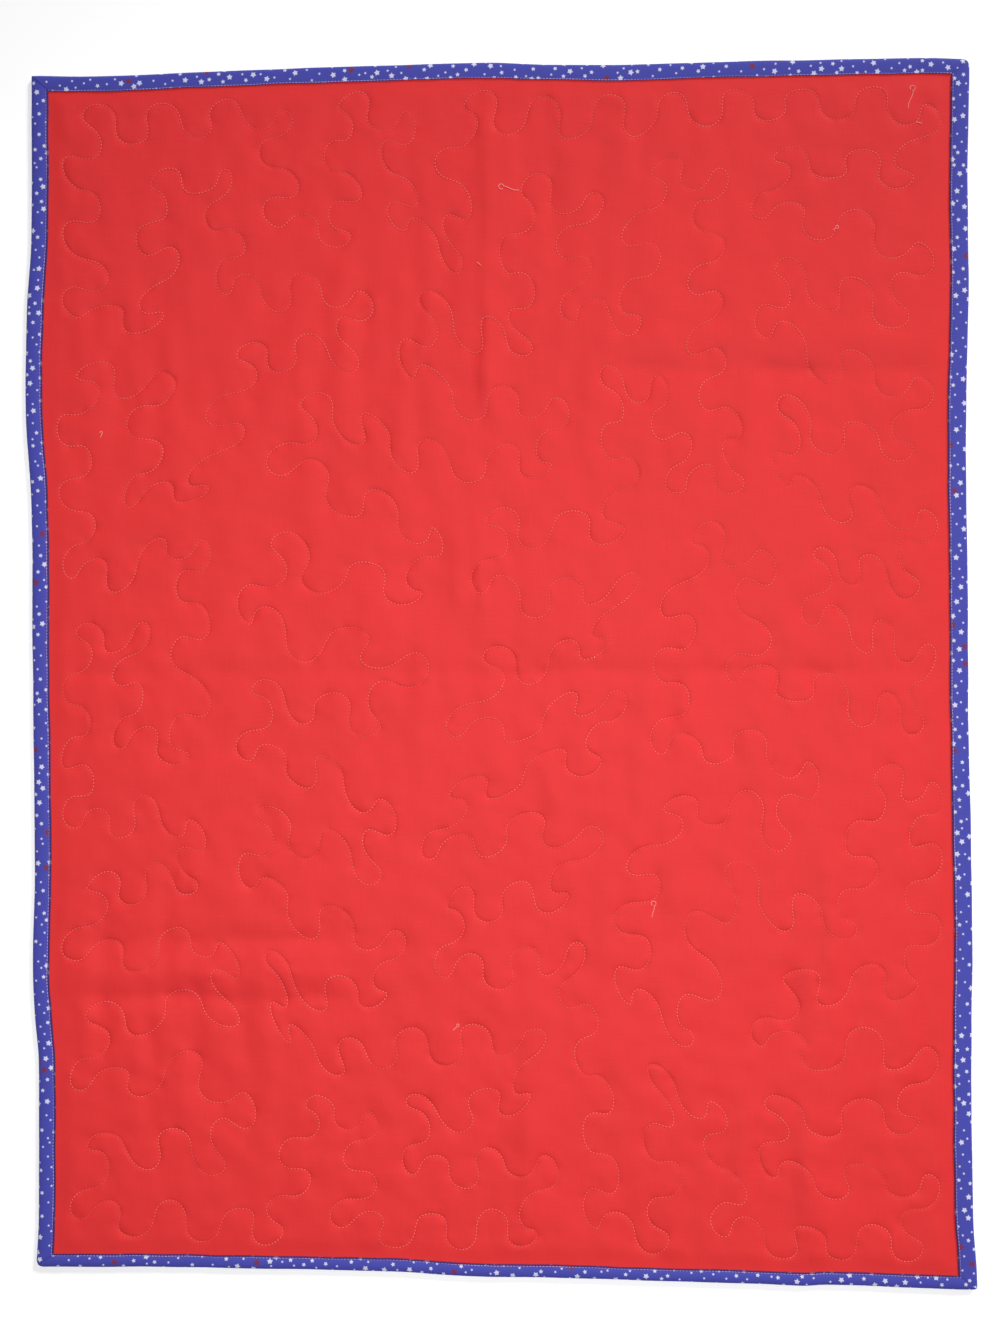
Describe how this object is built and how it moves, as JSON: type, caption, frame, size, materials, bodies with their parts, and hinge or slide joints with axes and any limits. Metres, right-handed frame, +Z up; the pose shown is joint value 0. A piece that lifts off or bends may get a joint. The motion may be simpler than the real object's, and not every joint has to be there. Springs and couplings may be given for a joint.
{
  "type": "baby quilt",
  "caption": "Quilted cotton baby blanket lying flat, plain red back up with a wandering quilting line, bound in a star-printed blue cotton strip.",
  "frame": {"origin": "on the floor under the middle of the lying quilt's box", "axes": "+Y along the quilt's length towards its top edge, +X across to the right, +Z up out of the red back"},
  "size_m": [0.8782, 1.1358, 0.007],
  "materials": {
    "red_cotton": "matt woven quilting cotton",
    "star_print_cotton": "matt woven quilting cotton, printed with small stars"
  },
  "bodies": {
    "root": {"quilt_body": "red_cotton", "binding_top": "star_print_cotton", "binding_right": "star_print_cotton", "binding_bottom": "star_print_cotton", "binding_left": "star_print_cotton"}
  },
  "joints": []
}
